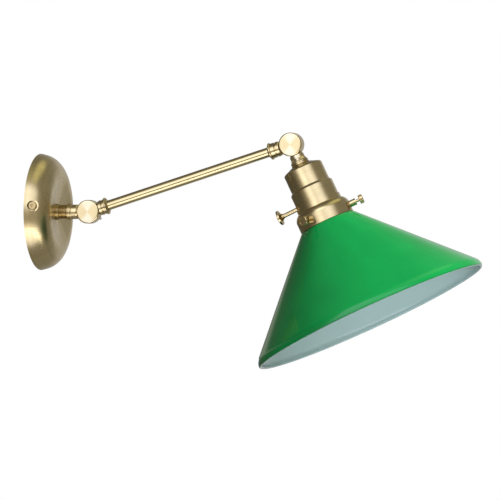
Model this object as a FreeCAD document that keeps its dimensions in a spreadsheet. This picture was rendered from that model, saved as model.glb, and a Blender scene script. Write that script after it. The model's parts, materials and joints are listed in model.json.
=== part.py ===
import FreeCAD, Part
import os
import re

import Sketcher

# Wall sconce with a round plate, a straight arm between two swivel knuckles and a cone shade.
# Frame: origin at the centre of the plate's back on the wall, +X out of the wall, +Z up.
# Both swivel pins lie along Y.  All lengths are millimetres, all angles degrees.

SIZES = {
    # round wall plate: a spun shell with a leaning wall, a round shoulder and a dished face
    "plate_radius": 61.2,
    "plate_depth": 22.3,
    "plate_shoulder": 23.0,
    "plate_lean_angle": 14.3,
    "plate_dish_angle": 9.7,
    "plate_wall": 1.2,
    "plate_turn_angle": -6.0,
    "hub_margin": 1.1,
    # strap bracket behind the plate, held to the wall box by two bolts
    "strap_thick": 1.6,
    "strap_width": 18.0,
    "strap_hole_room": 0.5,
    "tab_rim": 1.4,
    "plate_fit": 0.6,
    "wall_bolt_circle": 88.9,
    "wall_bolt_hole": 2.4,
    # the two screws through the plate's side, and the earth screw on the strap
    "side_screw_out": 8.6,
    "side_screw_shank": 2.0,
    "side_screw_head": 4.5,
    "screw_head_thick": 2.4,
    "screw_crown": 0.96,
    "screw_past_tab": 2.0,
    "seat_sink": 1.7,
    "seat_room": 0.7,
    "earth_screw_at": 24.0,
    "earth_screw_head": 4.0,
    # threaded tube through the plate, its nut, washer, ring and sleeve
    "nipple_radius": 5.0,
    "nipple_wall": 1.4,
    "nipple_tail": 2.5,
    "nipple_grip": 9.0,
    "nut_flats": 15.0,
    "nut_thick": 3.6,
    "washer_rim": 1.1,
    "washer_thick": 1.0,
    "washer_teeth": 12,
    "tooth_deep": 1.4,
    "base_ring_out": 1.2,
    "base_ring_thick": 2.6,
    "base_ring_round": 1.17,
    "sleeve_wall": 2.2,
    # swivel knuckles: two half discs on one pin
    "wall_pivot": 52.5,
    "knuckle_radius": 12.4,
    "knuckle_half": 7.0,
    "knuckle_edge": 1.6,
    "knuckle_gap": 0.3,
    "swing_gap": 0.4,
    "running_gap": 0.05,
    "neck_radius": 7.6,
    "neck_inset": 0.7,
    "neck_start": 8.0,
    "wall_neck": 23.5,
    "wall_ring_out": 0.7,
    "wall_ring_wide": 4.5,
    "wall_ring_slope": 0.8,
    "wall_ring_bevel": 0.9,
    "pin_radius": 2.5,
    "pin_depth": 5.0,
    "pin_head": 4.2,
    "pin_head_thick": 2.2,
    "pin_head_gap": 0.3,
    "pin_bevel": 0.45,
    "slot_wide": 1.0,
    "slot_deep": 0.9,
    "cross_reach": 1.9,
    "cross_wide": 1.0,
    "cross_deep": 1.3,
    "friction_inset": 2.8,
    "wire_hole": 2.6,
    "wire_hole_end": 6.6,
    # tension screw in the lower knuckle's rim
    "tension_angle": 49.5,
    "tension_radius": 1.3,
    "tension_deep": 4.9,
    "tension_out": 1.8,
    # arm: a plain tube with a turned collar at each end
    "arm_span": 230.2,
    "arm_rise_angle": 17.5,
    "tube_radius": 5.15,
    "tube_wall": 1.0,
    "tube_back": 0.2,
    "arm_neck": 14.4,
    "lower_collar_long": 8.2,
    "upper_collar_long": 11.0,
    "collar_out": 0.3,
    "collar_first_band": 1.4,
    "groove_deep": 0.8,
    "groove_slope": 0.5,
    "groove_wide": 0.8,
    "bead_out": 1.1,
    "bead_from_end": 2.4,
    "bead_half": 0.9,
    "bead_round": 0.4,
    "bead_slope": 0.3,
    "collar_step": 1.3,
    "collar_step_bevel": 0.3,
    # head: everything on the shade's axis, measured down from the upper pin
    "head_tilt_angle": 25.5,
    "head_neck": 16.0,
    "head_flare_long": 3.4,
    "head_flare_out": 1.2,
    "head_flare_lip": 0.6,
    "lock_ring_out": 0.7,
    "lock_ring_long": 3.4,
    "lock_ring_bevel": 0.4,
    "lock_ring_rib": 0.9,
    "lock_ring_slope": 0.3,
    "lock_ring_groove": 0.8,
    "lock_ring_flat": 0.4,
    "stub_tail": 1.6,
    # socket: cap, shell, liner, porcelain insert, screw shell and contact
    "cap_radius": 21.1,
    "cap_drop": 5.0,
    "cap_long": 24.7,
    "cap_bend": 0.6,
    "cap_bend_in": 1.2,
    "sheet": 1.0,
    "shell_radius": 23.2,
    "shell_chamfer": 2.5,
    "shell_lip": 3.5,
    "shell_long": 25.0,
    "shell_fit": 0.1,
    "liner_thick": 0.8,
    "liner_gap": 1.0,
    "insert_gap": 1.0,
    "insert_collar_long": 6.0,
    "insert_room": 1.8,
    "insert_out": 20.5,
    "insert_edge": 1.2,
    "lamp_radius": 13.3,
    "lamp_shell_wall": 0.5,
    "lamp_depth": 23.5,
    "lamp_shell_rise": 3.0,
    "lamp_shell_sink": 1.5,
    "contact_radius": 4.0,
    "contact_thick": 0.8,
    "contact_dome": 1.6,
    "terminal_inset": 7.0,
    "terminal_head": 3.2,
    "terminal_head_thick": 1.92,
    "terminal_shank": 1.7,
    # turn switch, on the side of the socket that faces the wall
    "switch_below_floor": 6.1,
    "switch_stem": 2.2,
    "stem_clear": 0.4,
    "rotor_radius": 3.9,
    "rotor_start": 5.0,
    "rotor_cover": 5.5,
    "rotor_gap": 0.3,
    "knob_reach": 14.4,
    "knob_flare": 5.2,
    "knob_flare_arc": 5.35,
    "knob_radius": 7.9,
    "knob_rim": 2.0,
    "knob_crown": 3.8,
    "knob_crown_arc": 18.3,
    # shade holder with three thumb screws
    "holder_over_shell": 1.7,
    "holder_drop": 7.2,
    "holder_arc": 10.0,
    "holder_band": 11.5,
    "lip_room": 0.3,
    "boss_from_shoulder": 4.0,
    "boss_radius": 3.5,
    "boss_out": 6.5,
    "thumb_count": 3,
    "thumb_turn_angle": -12.0,
    "thumb_stem": 1.5,
    "thumb_out": 8.0,
    "thumb_head": 4.8,
    "thumb_head_thick": 4.3,
    "thumb_bevel": 0.5,
    "thumb_dish": 0.8,
    "thumb_rim": 1.1,
    "thumb_rim_slope": 0.3,
    "thumb_knurls": 24,
    "knurl_deep": 0.35,
    "glass_gap": 0.35,
    # glass shade: lipped neck, ledge under the holder, cone, rounded shoulder and rim
    "glass_wall": 3.5,
    "glass_neck": 26.4,
    "glass_neck_long": 13.3,
    "glass_lip_out": 1.8,
    "glass_lip_long": 3.2,
    "glass_lip_slope": 1.8,
    "glass_lip_drop": 0.2,
    "glass_foot_gap": 0.4,
    "glass_foot_out": 0.5,
    "glass_cone_angle": 43.5,
    "glass_shoulder": 11.0,
    "shade_radius": 127.0,
    # how far a cutting tool runs past what it cuts
    "cut_past": 1.0,
}

doc = FreeCAD.newDocument("wall_sconce")
sheet = doc.addObject("Spreadsheet::Sheet", "Sizes")
for row, (alias, number) in enumerate(SIZES.items(), start=1):
    sheet.set(f"A{row}", alias)
    sheet.set(f"B{row}", str(number))
    sheet.setAlias(f"B{row}", alias)
doc.recompute()

nodes = []


# ---------------------------------------------------------------- helpers

def bind(text):
    """Turns the bare size names in an expression into references to the sheet."""
    return re.sub(r"[a-z]\w*", lambda word: f"Sizes.{word[0]}" if word[0] in SIZES else word[0], str(text))


def value(text):
    """The number that an expression gives with the sheet's present sizes."""
    return float(sheet.evalExpression(bind(text)))


def bound(item, **expressions):
    """Binds an object's properties to expressions on the sheet."""
    for name, text in expressions.items():
        item.setExpression(name, bind(text))
    return item


def turn(axis, angle):
    return FreeCAD.Placement(FreeCAD.Vector(), FreeCAD.Rotation(FreeCAD.Vector(*axis), angle))


def shift(x=0, y=0, z=0):
    return FreeCAD.Placement(FreeCAD.Vector(value(x), value(y), value(z)), FreeCAD.Rotation())


def keep(item, label):
    """Names a finished sub-part; the label names its file."""
    item.Label = label
    nodes.append(item)
    return item


def new_body(name, frame):
    body = doc.addObject("PartDesign::Body", name)
    body.Placement = frame
    return body


def new_sketch(body, name, plane, offset=None):
    sketch = body.newObject("Sketcher::SketchObject", name)
    origin_plane = next(item for item in body.Origin.OriginFeatures if item.Role == plane)
    sketch.AttachmentSupport = [(origin_plane, "")]
    sketch.MapMode = "FlatFace"
    if offset is not None:
        sketch.setExpression("AttachmentOffset.Base.z", bind(offset))
    return sketch


def hold_point(sketch, edge, end, corner):
    """Ties one end of an edge to the corner's two expressions."""
    for kind, text in zip(("DistanceX", "DistanceY"), corner):
        index = sketch.addConstraint(Sketcher.Constraint(kind, -1, 1, edge, end, value(text)))
        sketch.setExpression(f"Constraints[{index}]", bind(text))


def outline(body, name, corners, plane="XY_Plane", offset=None):
    """A closed sketch. A corner is (x, y), or (x, y, radius, side) where an arc leads to the
    next corner with its centre on that side, left or right, of the way there."""
    sketch = new_sketch(body, name, plane, offset)
    places = [FreeCAD.Vector(value(corner[0]), value(corner[1]), 0) for corner in corners]
    ends = []
    for index, corner in enumerate(corners):
        start, stop = places[index], places[(index + 1) % len(corners)]
        if len(corner) == 2:
            sketch.addGeometry(Part.LineSegment(start, stop), False)
            ends.append((1, 2))
            continue
        radius = value(corner[2])
        chord = stop - start
        left = FreeCAD.Vector(-chord.y, chord.x, 0).normalize()
        rise = radius - max(radius ** 2 - chord.Length ** 2 / 4, 0) ** 0.5
        side = 1 if corner[3] == "left" else -1
        middle = (start + stop) * 0.5 - left * (rise * side)
        if side == 1:
            sketch.addGeometry(Part.Arc(start, middle, stop), False)
            ends.append((1, 2))
        else:
            sketch.addGeometry(Part.Arc(stop, middle, start), False)
            ends.append((2, 1))
        hold = sketch.addConstraint(Sketcher.Constraint("Radius", index, radius))
        sketch.setExpression(f"Constraints[{hold}]", bind(corner[2]))
    for index, corner in enumerate(corners):
        following = (index + 1) % len(corners)
        meeting = (index, ends[index][1], following, ends[following][0])
        sketch.addConstraint(Sketcher.Constraint("Coincident", *meeting))
        hold_point(sketch, index, ends[index][0], corner[:2])
    return sketch


def round_hole(body, name, centre, radius, plane, offset=None):
    """A sketch with one circle."""
    sketch = new_sketch(body, name, plane, offset)
    middle = FreeCAD.Vector(value(centre[0]), value(centre[1]), 0)
    sketch.addGeometry(Part.Circle(middle, FreeCAD.Vector(0, 0, 1), value(radius)), False)
    hold_point(sketch, 0, 3, centre)
    index = sketch.addConstraint(Sketcher.Constraint("Radius", 0, value(radius)))
    sketch.setExpression(f"Constraints[{index}]", bind(radius))
    return sketch


def feature(body, kind, name, profile, **settings):
    """Adds a feature on a sketch and checks that it changed the solid."""
    before = body.Shape.Volume if body.Tip else 0
    item = body.newObject(f"PartDesign::{kind}", name)
    item.Profile = profile
    for key, setting in settings.items():
        setattr(item, key, setting)
    doc.recompute()
    if abs(body.Shape.Volume - before) < 1e-6:
        raise RuntimeError(f"{body.Name}.{name} changed nothing")
    return item


def spin(body, name, corners, axis="H_Axis"):
    """Adds an outline turned about the sketch's own axis."""
    sketch = outline(body, f"{name}_outline", corners)
    return feature(body, "Revolution", name, sketch, ReferenceAxis=(sketch, [axis]), Angle=360)


def bore(body, name, corners, axis="H_Axis"):
    """Cuts an outline turned about the sketch's own axis."""
    sketch = outline(body, f"{name}_outline", corners)
    return feature(body, "Groove", name, sketch, ReferenceAxis=(sketch, [axis]), Angle=360)


def span(start, stop, inner, outer):
    """The rectangle of a ring: from start to stop along the axis, between two radii."""
    return [(start, inner), (stop, inner), (stop, outer), (start, outer)]


def turned(label, frame, corners):
    """A sub-part that is one outline turned about its own X axis."""
    body = new_body(f"{label}_body", frame)
    spin(body, f"{label}_turning", corners)
    return keep(body, label)


def screw_slot(body, name, top, radius):
    """Cuts a driver slot across a head whose flat end is at top."""
    slot(body, name, top, f"({radius} + 1)", "slot_wide / 2", "slot_deep")


def cross_recess(body, name, top):
    """Cuts a cross-shaped driver recess into the middle of a head."""
    slot(body, f"{name}_across", top, "cross_reach", "cross_wide / 2", "cross_deep")
    slot(body, f"{name}_upright", top, "cross_wide / 2", "cross_reach", "cross_deep")


def slot(body, name, top, half_long, half_high, deep):
    """Cuts a rectangle down from a flat end at top, by its half lengths."""
    low_x, low_y = f"-{half_long}", f"-{half_high}"
    corners = [(low_x, low_y), (half_long, low_y), (half_long, half_high), (low_x, half_high)]
    sketch = outline(body, f"{name}_outline", corners, plane="YZ_Plane", offset=top)
    cut = feature(body, "Pocket", name, sketch, Length=value(deep))
    bound(cut, Length=deep)


def rod(name, frame, radius, length):
    """A plain cylinder along its own X axis, used to add or cut."""
    item = doc.addObject("Part::Cylinder", name)
    bound(item, Radius=radius, Height=length)
    item.Placement = frame * turn((0, 1, 0), 90)
    return item


def block(name, frame, length, width, height):
    """A box from its own origin along X, centred on its X axis in Y and Z."""
    item = doc.addObject("Part::Box", name)
    bound(item, Length=length, Width=width, Height=height)
    item.Placement = frame * shift(0, f"-({width}) / 2", f"-({height}) / 2")
    return item


def joined(name, items):
    whole = doc.addObject("Part::MultiFuse", name)
    whole.Shapes = items
    return whole


def carved(name, base, tools):
    whole = doc.addObject("Part::Cut", name)
    whole.Base = base
    whole.Tool = tools[0] if len(tools) == 1 else joined(f"{name}_cuts", tools)
    return whole


# ---------------------------------------------------------------- frames and shared places

WALL = turn((1, 0, 0), 0)
PLATE = turn((1, 0, 0), value("plate_turn_angle"))
LOWER_PIN = shift("wall_pivot")
UPPER_PIN = LOWER_PIN * turn((0, 1, 0), -value("arm_rise_angle")) * shift("arm_span")
UPPER_PIN = FreeCAD.Placement(UPPER_PIN.Base, FreeCAD.Rotation())
ARM = LOWER_PIN * turn((0, 1, 0), -value("arm_rise_angle"))
ARM_FROM_TOP = UPPER_PIN * turn((0, 1, 0), 180 - value("arm_rise_angle"))
WALL_NECK = LOWER_PIN * turn((0, 0, 1), 180)
HEAD = UPPER_PIN * turn((0, 1, 0), 90 - value("head_tilt_angle"))
HEAD_NECK = HEAD * turn((1, 0, 0), 180)


def around_head(along, angle):
    """A frame on the head's axis whose X points outwards at an angle round it; 0 is away from
    the wall and 180 faces it."""
    return HEAD * shift(along) * turn((1, 0, 0), angle) * turn((0, 1, 0), -90)


# radii that sit on each other, from the threaded tube outwards
WIRE_BORE = "(nipple_radius - nipple_wall)"
SLEEVE_R = "(nipple_radius + sleeve_wall)"
BASE_RING_R = f"({SLEEVE_R} + base_ring_out)"
HUB_R = f"({BASE_RING_R} + hub_margin)"
WASHER_R = "(nut_flats / 2 + washer_rim)"

# centre of the plate's shoulder arc, and where its dished face meets the flat hub
ARC_X = "(plate_depth - plate_shoulder)"
ARC_R = f"(plate_radius - (plate_shoulder + {ARC_X} * sin(plate_lean_angle)) / cos(plate_lean_angle))"
DISH_X = f"({ARC_X} + plate_shoulder * cos(plate_dish_angle))"
DISH_R = f"({ARC_R} - plate_shoulder * sin(plate_dish_angle))"
HUB_X = f"({DISH_X} - ({DISH_R} - {HUB_R}) * tan(plate_dish_angle))"
HUB_BACK = f"({HUB_X} - plate_wall)"
NUT_FRONT = f"({HUB_BACK} - washer_thick)"
RING_FRONT = f"({HUB_X} + base_ring_thick)"
WALL_NECK_X = "(wall_pivot - wall_neck)"

# the screws' seats pressed into the plate's side, and the bracket's tabs just inside it
SEAT = f"({ARC_R} + sqrt(plate_shoulder ^ 2 - (side_screw_out - {ARC_X}) ^ 2) - seat_sink)"
TAB_TOP = "(side_screw_out + side_screw_shank + tab_rim)"
TAB_ROOM = f"({ARC_R} + sqrt((plate_shoulder - plate_wall) ^ 2 - ({TAB_TOP} - {ARC_X}) ^ 2) - plate_fit)"
TAB_FACE = f"sqrt({TAB_ROOM} ^ 2 - (strap_width / 2) ^ 2)"

# the other half of a knuckle turns inside this radius, and the arm's tube starts just clear of it
SWING_R = "(knuckle_radius + swing_gap)"
TUBE_START = f"({SWING_R} + tube_back)"
COLLAR_R = "(neck_radius + collar_out)"

# places down the head's axis
HEAD_NECK_END = "(head_neck + head_flare_long)"
LOCK_END = f"({HEAD_NECK_END} + lock_ring_long)"
CAP_INSIDE = f"({LOCK_END} + sheet)"
STUB_END = f"({CAP_INSIDE} + nut_thick + stub_tail)"
CAP_END = f"({LOCK_END} + cap_long)"
SHELL_END = f"({CAP_END} + shell_long)"
LINER_START = f"({CAP_END} + shell_chamfer + liner_gap)"
INSERT_START = f"({LINER_START} + insert_gap)"
INSERT_COLLAR_END = f"({INSERT_START} + insert_collar_long)"
INSERT_END = f"({SHELL_END} + insert_out)"
LAMP_FLOOR = f"({INSERT_END} - lamp_depth)"
SWITCH_AT = f"({LAMP_FLOOR} - switch_below_floor)"
HOLDER_START = f"({SWITCH_AT} + switch_stem + stem_clear)"
HOLDER_COLLAR_END = f"({SHELL_END} - holder_over_shell)"
HOLDER_SHOULDER = f"({HOLDER_COLLAR_END} + holder_drop)"
HOLDER_END = f"({HOLDER_SHOULDER} + holder_band)"
BOSS_AT = f"({HOLDER_SHOULDER} + boss_from_shoulder)"
GLASS_FOOT = f"({HOLDER_END} + glass_foot_gap)"
GLASS_TOP = f"({GLASS_FOOT} - glass_neck_long)"
GLASS_LIP_END = f"({GLASS_TOP} + glass_lip_long)"

# radii round the head's axis
HEAD_FLARE_R = "(neck_radius + head_flare_out)"
LOCK_RING_R = f"({HEAD_FLARE_R} + lock_ring_out)"
SHELL_INNER = "(shell_radius - sheet)"
LINER_INNER = f"({SHELL_INNER} - liner_thick)"
INSERT_R = f"({LINER_INNER} - insert_room)"
LAMP_POCKET = "(lamp_radius + lamp_shell_wall)"
TERMINAL_AT = f"({INSERT_R} - terminal_inset)"
ROTOR_END = f"({INSERT_R} - rotor_cover)"
KNOB_NECK = "(shell_radius + knob_reach)"
KNOB_MOUTH = f"({KNOB_NECK} + knob_flare)"
GLASS_LIP_R = "(glass_neck + glass_lip_out)"
HOLDER_INNER = f"({GLASS_LIP_R} + lip_room)"
HOLDER_R = f"({HOLDER_INNER} + sheet)"
BOSS_END = f"({HOLDER_R} + boss_out)"
THUMB_END = f"({BOSS_END} + thumb_out)"
GLASS_FOOT_R = f"({HOLDER_R} + glass_foot_out)"

# where the cone's slope would meet the shade's full radius, and the rim below it
RIM_ARC = (f"({GLASS_FOOT} + (shade_radius - {GLASS_FOOT_R}) / tan(glass_cone_angle)"
           " + glass_shoulder * tan(glass_cone_angle / 2))")
RIM = f"({RIM_ARC} + glass_wall / 2)"


# ---------------------------------------------------------------- wall plate and bracket

def plate():
    inner = "(plate_shoulder - plate_wall)"
    lean, dish = "plate_lean_angle", "plate_dish_angle"
    corners = [
        (0, f"plate_radius - plate_wall / cos({lean})"),
        (0, "plate_radius"),
        (f"{ARC_X} + plate_shoulder * sin({lean})", f"{ARC_R} + plate_shoulder * cos({lean})",
         "plate_shoulder", "right"),
        (DISH_X, DISH_R),
        (HUB_X, HUB_R),
        (HUB_X, "nipple_radius"),
        (HUB_BACK, "nipple_radius"),
        (HUB_BACK, f"{HUB_R} + plate_wall * tan({dish} / 2)"),
        (f"{ARC_X} + {inner} * cos({dish})", f"{ARC_R} - {inner} * sin({dish})", inner, "left"),
        (f"{ARC_X} + {inner} * sin({lean})", f"{ARC_R} + {inner} * cos({lean})"),
    ]
    shell = new_body("canopy_shell", PLATE)
    spin(shell, "canopy_spinning", corners)
    seat_radius = "(side_screw_head + seat_room)"
    seats, cuts = [], []
    for side, angle in (("near", -90), ("far", 90)):
        out = PLATE * shift("side_screw_out") * turn((0, 0, 1), angle)
        seats.append(rod(f"seat_{side}", out * shift(f"{SEAT} - plate_wall"), f"{seat_radius} + plate_wall",
                         "plate_wall"))
        cuts.append(rod(f"seat_recess_{side}", out * shift(SEAT), seat_radius, "plate_radius"))
        cuts.append(rod(f"seat_hole_{side}", out * shift(TAB_FACE), "side_screw_shank + swing_gap",
                        "plate_radius"))
    keep(carved("canopy_solid", joined("canopy_with_seats", [shell] + seats), cuts), "canopy")


def bracket():
    side = PLATE * turn((0, 0, 1), 90)
    strap = block("strap", PLATE, "strap_thick", f"2 * {TAB_FACE}", "strap_width")
    through = "strap_thick + 2 * cut_past"
    centre_hole = "nipple_radius + strap_hole_room"
    tabs, holes = [], [rod("strap_centre_hole", PLATE * shift("-cut_past"), centre_hole, through)]
    for name, angle in (("near", -90), ("far", 90)):
        out = PLATE * turn((0, 0, 1), angle)
        tab = out * shift(f"{TAB_FACE} - strap_thick", f"{-1 if name == 'far' else 1} * {TAB_TOP} / 2")
        tabs.append(block(f"tab_{name}", tab, "strap_thick", TAB_TOP, "strap_width"))
        screw = PLATE * shift("side_screw_out") * turn((0, 0, 1), angle)
        behind = f"{TAB_FACE} - strap_thick - cut_past"
        holes.append(rod(f"tab_hole_{name}", screw * shift(behind), "side_screw_shank", through))
        bolt = out * shift("wall_bolt_circle / 2") * turn((0, 0, 1), -angle)
        holes.append(rod(f"wall_bolt_hole_{name}", bolt * shift("-cut_past"), "wall_bolt_hole", through))
    earth = side * shift("earth_screw_at") * turn((0, 0, 1), -90)
    holes.append(rod("earth_hole", earth * shift("-cut_past"), "side_screw_shank", through))
    keep(carved("bracket_solid", joined("bracket_blank", [strap] + tabs), holes), "mounting_bracket")


def pan_screw(name, frame, head, tip, seat):
    """A round-headed screw along its own X, from its tip to the head on its seat."""
    body = new_body(name, frame)
    top = f"({seat} + screw_head_thick)"
    spin(body, f"{name}_turning", [
        (tip, 0), (tip, "side_screw_shank"), (seat, "side_screw_shank"), (seat, head),
        (f"{top} - screw_crown", head, "screw_crown", "right"), (top, f"{head} - screw_crown"), (top, 0),
    ])
    cross_recess(body, f"{name}_cross", top)
    return body


def plate_screws():
    pair = []
    for side, angle in (("near", -90), ("far", 90)):
        frame = PLATE * shift("side_screw_out") * turn((0, 0, 1), angle)
        tip = f"({TAB_FACE} - strap_thick - screw_past_tab)"
        pair.append(pan_screw(f"side_screw_{side}", frame, "side_screw_head", tip, SEAT))
    both = doc.addObject("Part::Compound", "side_screw_pair")
    both.Links = pair
    keep(both, "side_screws")
    frame = PLATE * shift(0, "earth_screw_at")
    keep(pan_screw("earth_screw", frame, "earth_screw_head", 0, "strap_thick"), "ground_screw")


def nipple_parts():
    start = f"({NUT_FRONT} - nut_thick - nipple_tail)"
    turned("threaded_nipple", WALL, span(start, f"{WALL_NECK_X} + nipple_grip", WIRE_BORE, "nipple_radius"))
    nut("nipple_lock_nut", WALL, f"{NUT_FRONT} - nut_thick")
    toothed_washer()
    turned("nipple_base_ring", WALL, [
        (HUB_X, "nipple_radius"), (RING_FRONT, "nipple_radius"),
        (RING_FRONT, f"{BASE_RING_R} - base_ring_round", "base_ring_round", "left"),
        (f"{RING_FRONT} - base_ring_round", BASE_RING_R), (HUB_X, BASE_RING_R),
    ])
    turned("stem_sleeve", WALL, span(RING_FRONT, WALL_NECK_X, "nipple_radius", SLEEVE_R))


def nut(label, frame, start):
    """A six-sided nut along its own X on the threaded tube."""
    body = new_body(f"{label}_body", frame)
    corner = "(nut_flats / 2 / cos(30))"
    corners = [(f"{corner} * cos({angle})", f"{corner} * sin({angle})") for angle in range(0, 360, 60)]
    sketch = outline(body, f"{label}_hexagon", corners, plane="YZ_Plane", offset=start)
    bound(feature(body, "Pad", f"{label}_pad", sketch, Length=value("nut_thick")), Length="nut_thick")
    stop = f"({start}) + nut_thick"
    hole = round_hole(body, f"{label}_circle", (0, 0), "nipple_radius", "YZ_Plane", stop)
    bound(feature(body, "Pocket", f"{label}_hole", hole, Length=value("nut_thick")), Length="nut_thick")
    keep(body, label)


def toothed_washer():
    """A flat washer whose rim is notched into teeth."""
    body = new_body("toothed_washer_body", WALL)
    spin(body, "washer_turning", span(NUT_FRONT, HUB_BACK, "nipple_radius", WASHER_R))
    half = f"({WASHER_R} * sin(45 / washer_teeth))"
    root, past = f"{WASHER_R} - tooth_deep", f"{WASHER_R} + cut_past"
    corners = [(root, f"-{half}"), (past, f"-{half}"), (past, half), (root, half)]
    notch_sketch = outline(body, "notch_outline", corners, plane="YZ_Plane", offset=HUB_BACK)
    notch = feature(body, "Pocket", "notch", notch_sketch, Length=value("washer_thick"))
    bound(notch, Length="washer_thick")
    ring_of(body, "notches", notch, notch_sketch, "washer_teeth")
    keep(body, "nipple_lock_washer")


def ring_of(body, name, cut, sketch, count):
    """Repeats a cut evenly round the sketch's normal."""
    before = body.Shape.Volume
    pattern = body.newObject("PartDesign::PolarPattern", name)
    pattern.Originals = [cut]
    pattern.Axis = (sketch, ["N_Axis"])
    pattern.Angle = 360
    bound(pattern, Occurrences=count)
    body.Tip = pattern
    doc.recompute()
    if body.Shape.Volume >= before:
        raise RuntimeError(f"{body.Name}.{name} cut nothing")


# ---------------------------------------------------------------- swivel knuckles

def knuckle(name, frame, neck, through):
    """One half of a swivel: a half disc on the +Y side with its neck along +X. The neck is cut
    back where the other half turns. The pin's hole runs through, or stops inside the disc."""
    body = new_body(name, frame)
    spin(body, f"{name}_neck", neck)
    rounded = "(knuckle_half - knuckle_edge)"
    spin(body, f"{name}_disc", [
        (0, "knuckle_gap"), ("knuckle_radius", "knuckle_gap"),
        ("knuckle_radius", rounded, "knuckle_edge", "left"),
        ("knuckle_radius - knuckle_edge", "knuckle_half"), (0, "knuckle_half"),
    ], axis="V_Axis")
    below = "-2 * knuckle_half"
    swing = [(0, below), (SWING_R, below), (SWING_R, "knuckle_gap"), (0, "knuckle_gap")]
    bore(body, f"{name}_swing", swing, axis="V_Axis")
    bore(body, f"{name}_wire_way", span(SWING_R, "3 * knuckle_radius", 0, WIRE_BORE))
    wire_hole(body, f"{name}_wire_hole")
    if through:
        hole = "(pin_radius + running_gap)"
        head_seat = "(knuckle_half - pin_head_thick - pin_head_gap)"
        recess = "(pin_head + pin_head_gap)"
        past = "knuckle_half + cut_past"
        corners = [(0, 0), (hole, 0), (hole, head_seat), (recess, head_seat), (recess, past), (0, past)]
    else:
        corners = [(0, 0), ("pin_radius", 0), ("pin_radius", "pin_depth"), (0, "pin_depth")]
    bore(body, f"{name}_pin_hole", corners, axis="V_Axis")
    return body


def wire_hole(body, name):
    """The wires' way from the neck's bore into the middle of the half disc's thickness."""
    middle = ("(knuckle_half + knuckle_gap) / 2", 0)
    circle = round_hole(body, f"{name}_circle", middle, "wire_hole", "YZ_Plane", SWING_R)
    length = f"{SWING_R} - wire_hole_end"
    bound(feature(body, "Pocket", name, circle, Length=value(length)), Length=length)


def neck_outline(*tail):
    """A knuckle's neck: it leaves the disc narrow, widens, and goes on as the tail says."""
    root = "(knuckle_half - neck_inset)"
    return [("neck_start", 0), ("neck_start", root), ("knuckle_radius - knuckle_edge", root),
            (SWING_R, "neck_radius"), *tail]


def swivel_hardware(prefix, pin):
    """The pin screw, fixed in the half nearer -Y, and the friction washer between the halves."""
    along = pin * turn((0, 0, 1), 90)
    head_seat = "(knuckle_half - pin_head_thick - pin_head_gap + running_gap)"
    top = f"({head_seat} + pin_head_thick)"
    body = new_body(f"{prefix}_hinge_screw_body", along)
    spin(body, f"{prefix}_screw_turning", [
        ("-pin_depth", 0), ("-pin_depth", "pin_radius"), (head_seat, "pin_radius"), (head_seat, "pin_head"),
        (f"{top} - pin_bevel", "pin_head"), (top, "pin_head - pin_bevel"), (top, 0),
    ])
    screw_slot(body, f"{prefix}_screw_slot", top, "pin_head")
    keep(body, f"{prefix}_hinge_screw")
    rim = "(knuckle_radius - friction_inset)"
    washer = span("-knuckle_gap", "knuckle_gap - running_gap", "pin_radius", rim)
    turned(f"{prefix}_friction_washer", along, washer)


def wall_swivel():
    ring_start = "(wall_neck - wall_ring_wide)"
    ring = "(neck_radius + wall_ring_out)"
    body = knuckle("wall_knuckle_body", WALL_NECK, neck_outline(
        (f"{ring_start} - wall_ring_slope", "neck_radius"), (ring_start, ring),
        ("wall_neck - wall_ring_bevel", ring), ("wall_neck", f"{ring} - wall_ring_bevel"),
        ("wall_neck", 0)), through=False)
    bore(body, "nipple_seat", span("wall_neck - nipple_grip", "wall_neck + cut_past", 0, "nipple_radius"))
    keep(body, "wall_knuckle")
    swivel_hardware("wall", LOWER_PIN)


def arm_knuckle(name, frame):
    """A half of a swivel whose neck takes the arm's tube."""
    body = knuckle(name, frame, neck_outline(("arm_neck", "neck_radius"), ("arm_neck", 0)), through=True)
    bore(body, f"{name}_tube_seat", span(TUBE_START, "arm_neck + cut_past", 0, "tube_radius"))
    return body


def tension_screw():
    """A small headless screw in the rim of the lower knuckle's outer half."""
    spot = ARM * turn((0, 1, 0), value("tension_angle")) * shift(0, "(knuckle_half + knuckle_gap) / 2")
    start, stop = "(knuckle_radius - tension_deep)", "(knuckle_radius + tension_out)"
    hole = rod("tension_hole", spot * shift(start), "tension_radius", f"{stop} - {start}")
    blank = arm_knuckle("arm_lower_knuckle_body", ARM)
    keep(carved("arm_lower_knuckle_solid", blank, [hole]), "arm_lower_knuckle")
    body = new_body("tension_screw_body", spot)
    spin(body, "tension_turning", span(start, stop, 0, "tension_radius"))
    keep(body, "tension_screw")


# ---------------------------------------------------------------- arm

def collar(label, frame, end):
    """A turned collar on the tube: a grooved body, a bead and a small step down to the tube."""
    bead = "(neck_radius + collar_out + bead_out)"
    shoulder = f"({bead} - bead_round)"
    middle = f"({end} - bead_from_end)"
    groove = "(arm_neck + collar_first_band)"
    floor_start = f"({groove} + groove_slope)"
    floor_end = f"({floor_start} + groove_wide)"
    bottom = f"({COLLAR_R} - groove_deep)"
    step = "(tube_radius + collar_step)"
    turned(label, frame, [
        ("arm_neck", "tube_radius"), ("arm_neck", COLLAR_R), (groove, COLLAR_R), (floor_start, bottom),
        (floor_end, bottom), (f"{floor_end} + groove_slope", COLLAR_R),
        (f"{middle} - bead_half - bead_slope", COLLAR_R), (f"{middle} - bead_half", shoulder),
        (f"{middle} - bead_round", bead), (f"{middle} + bead_round", bead),
        (f"{middle} + bead_half", shoulder),
        (f"{middle} + bead_half + bead_round", f"{COLLAR_R} - bead_round"),
        (f"{end} - collar_step_bevel", step), (end, f"{step} - collar_step_bevel"), (end, "tube_radius"),
    ])


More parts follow.
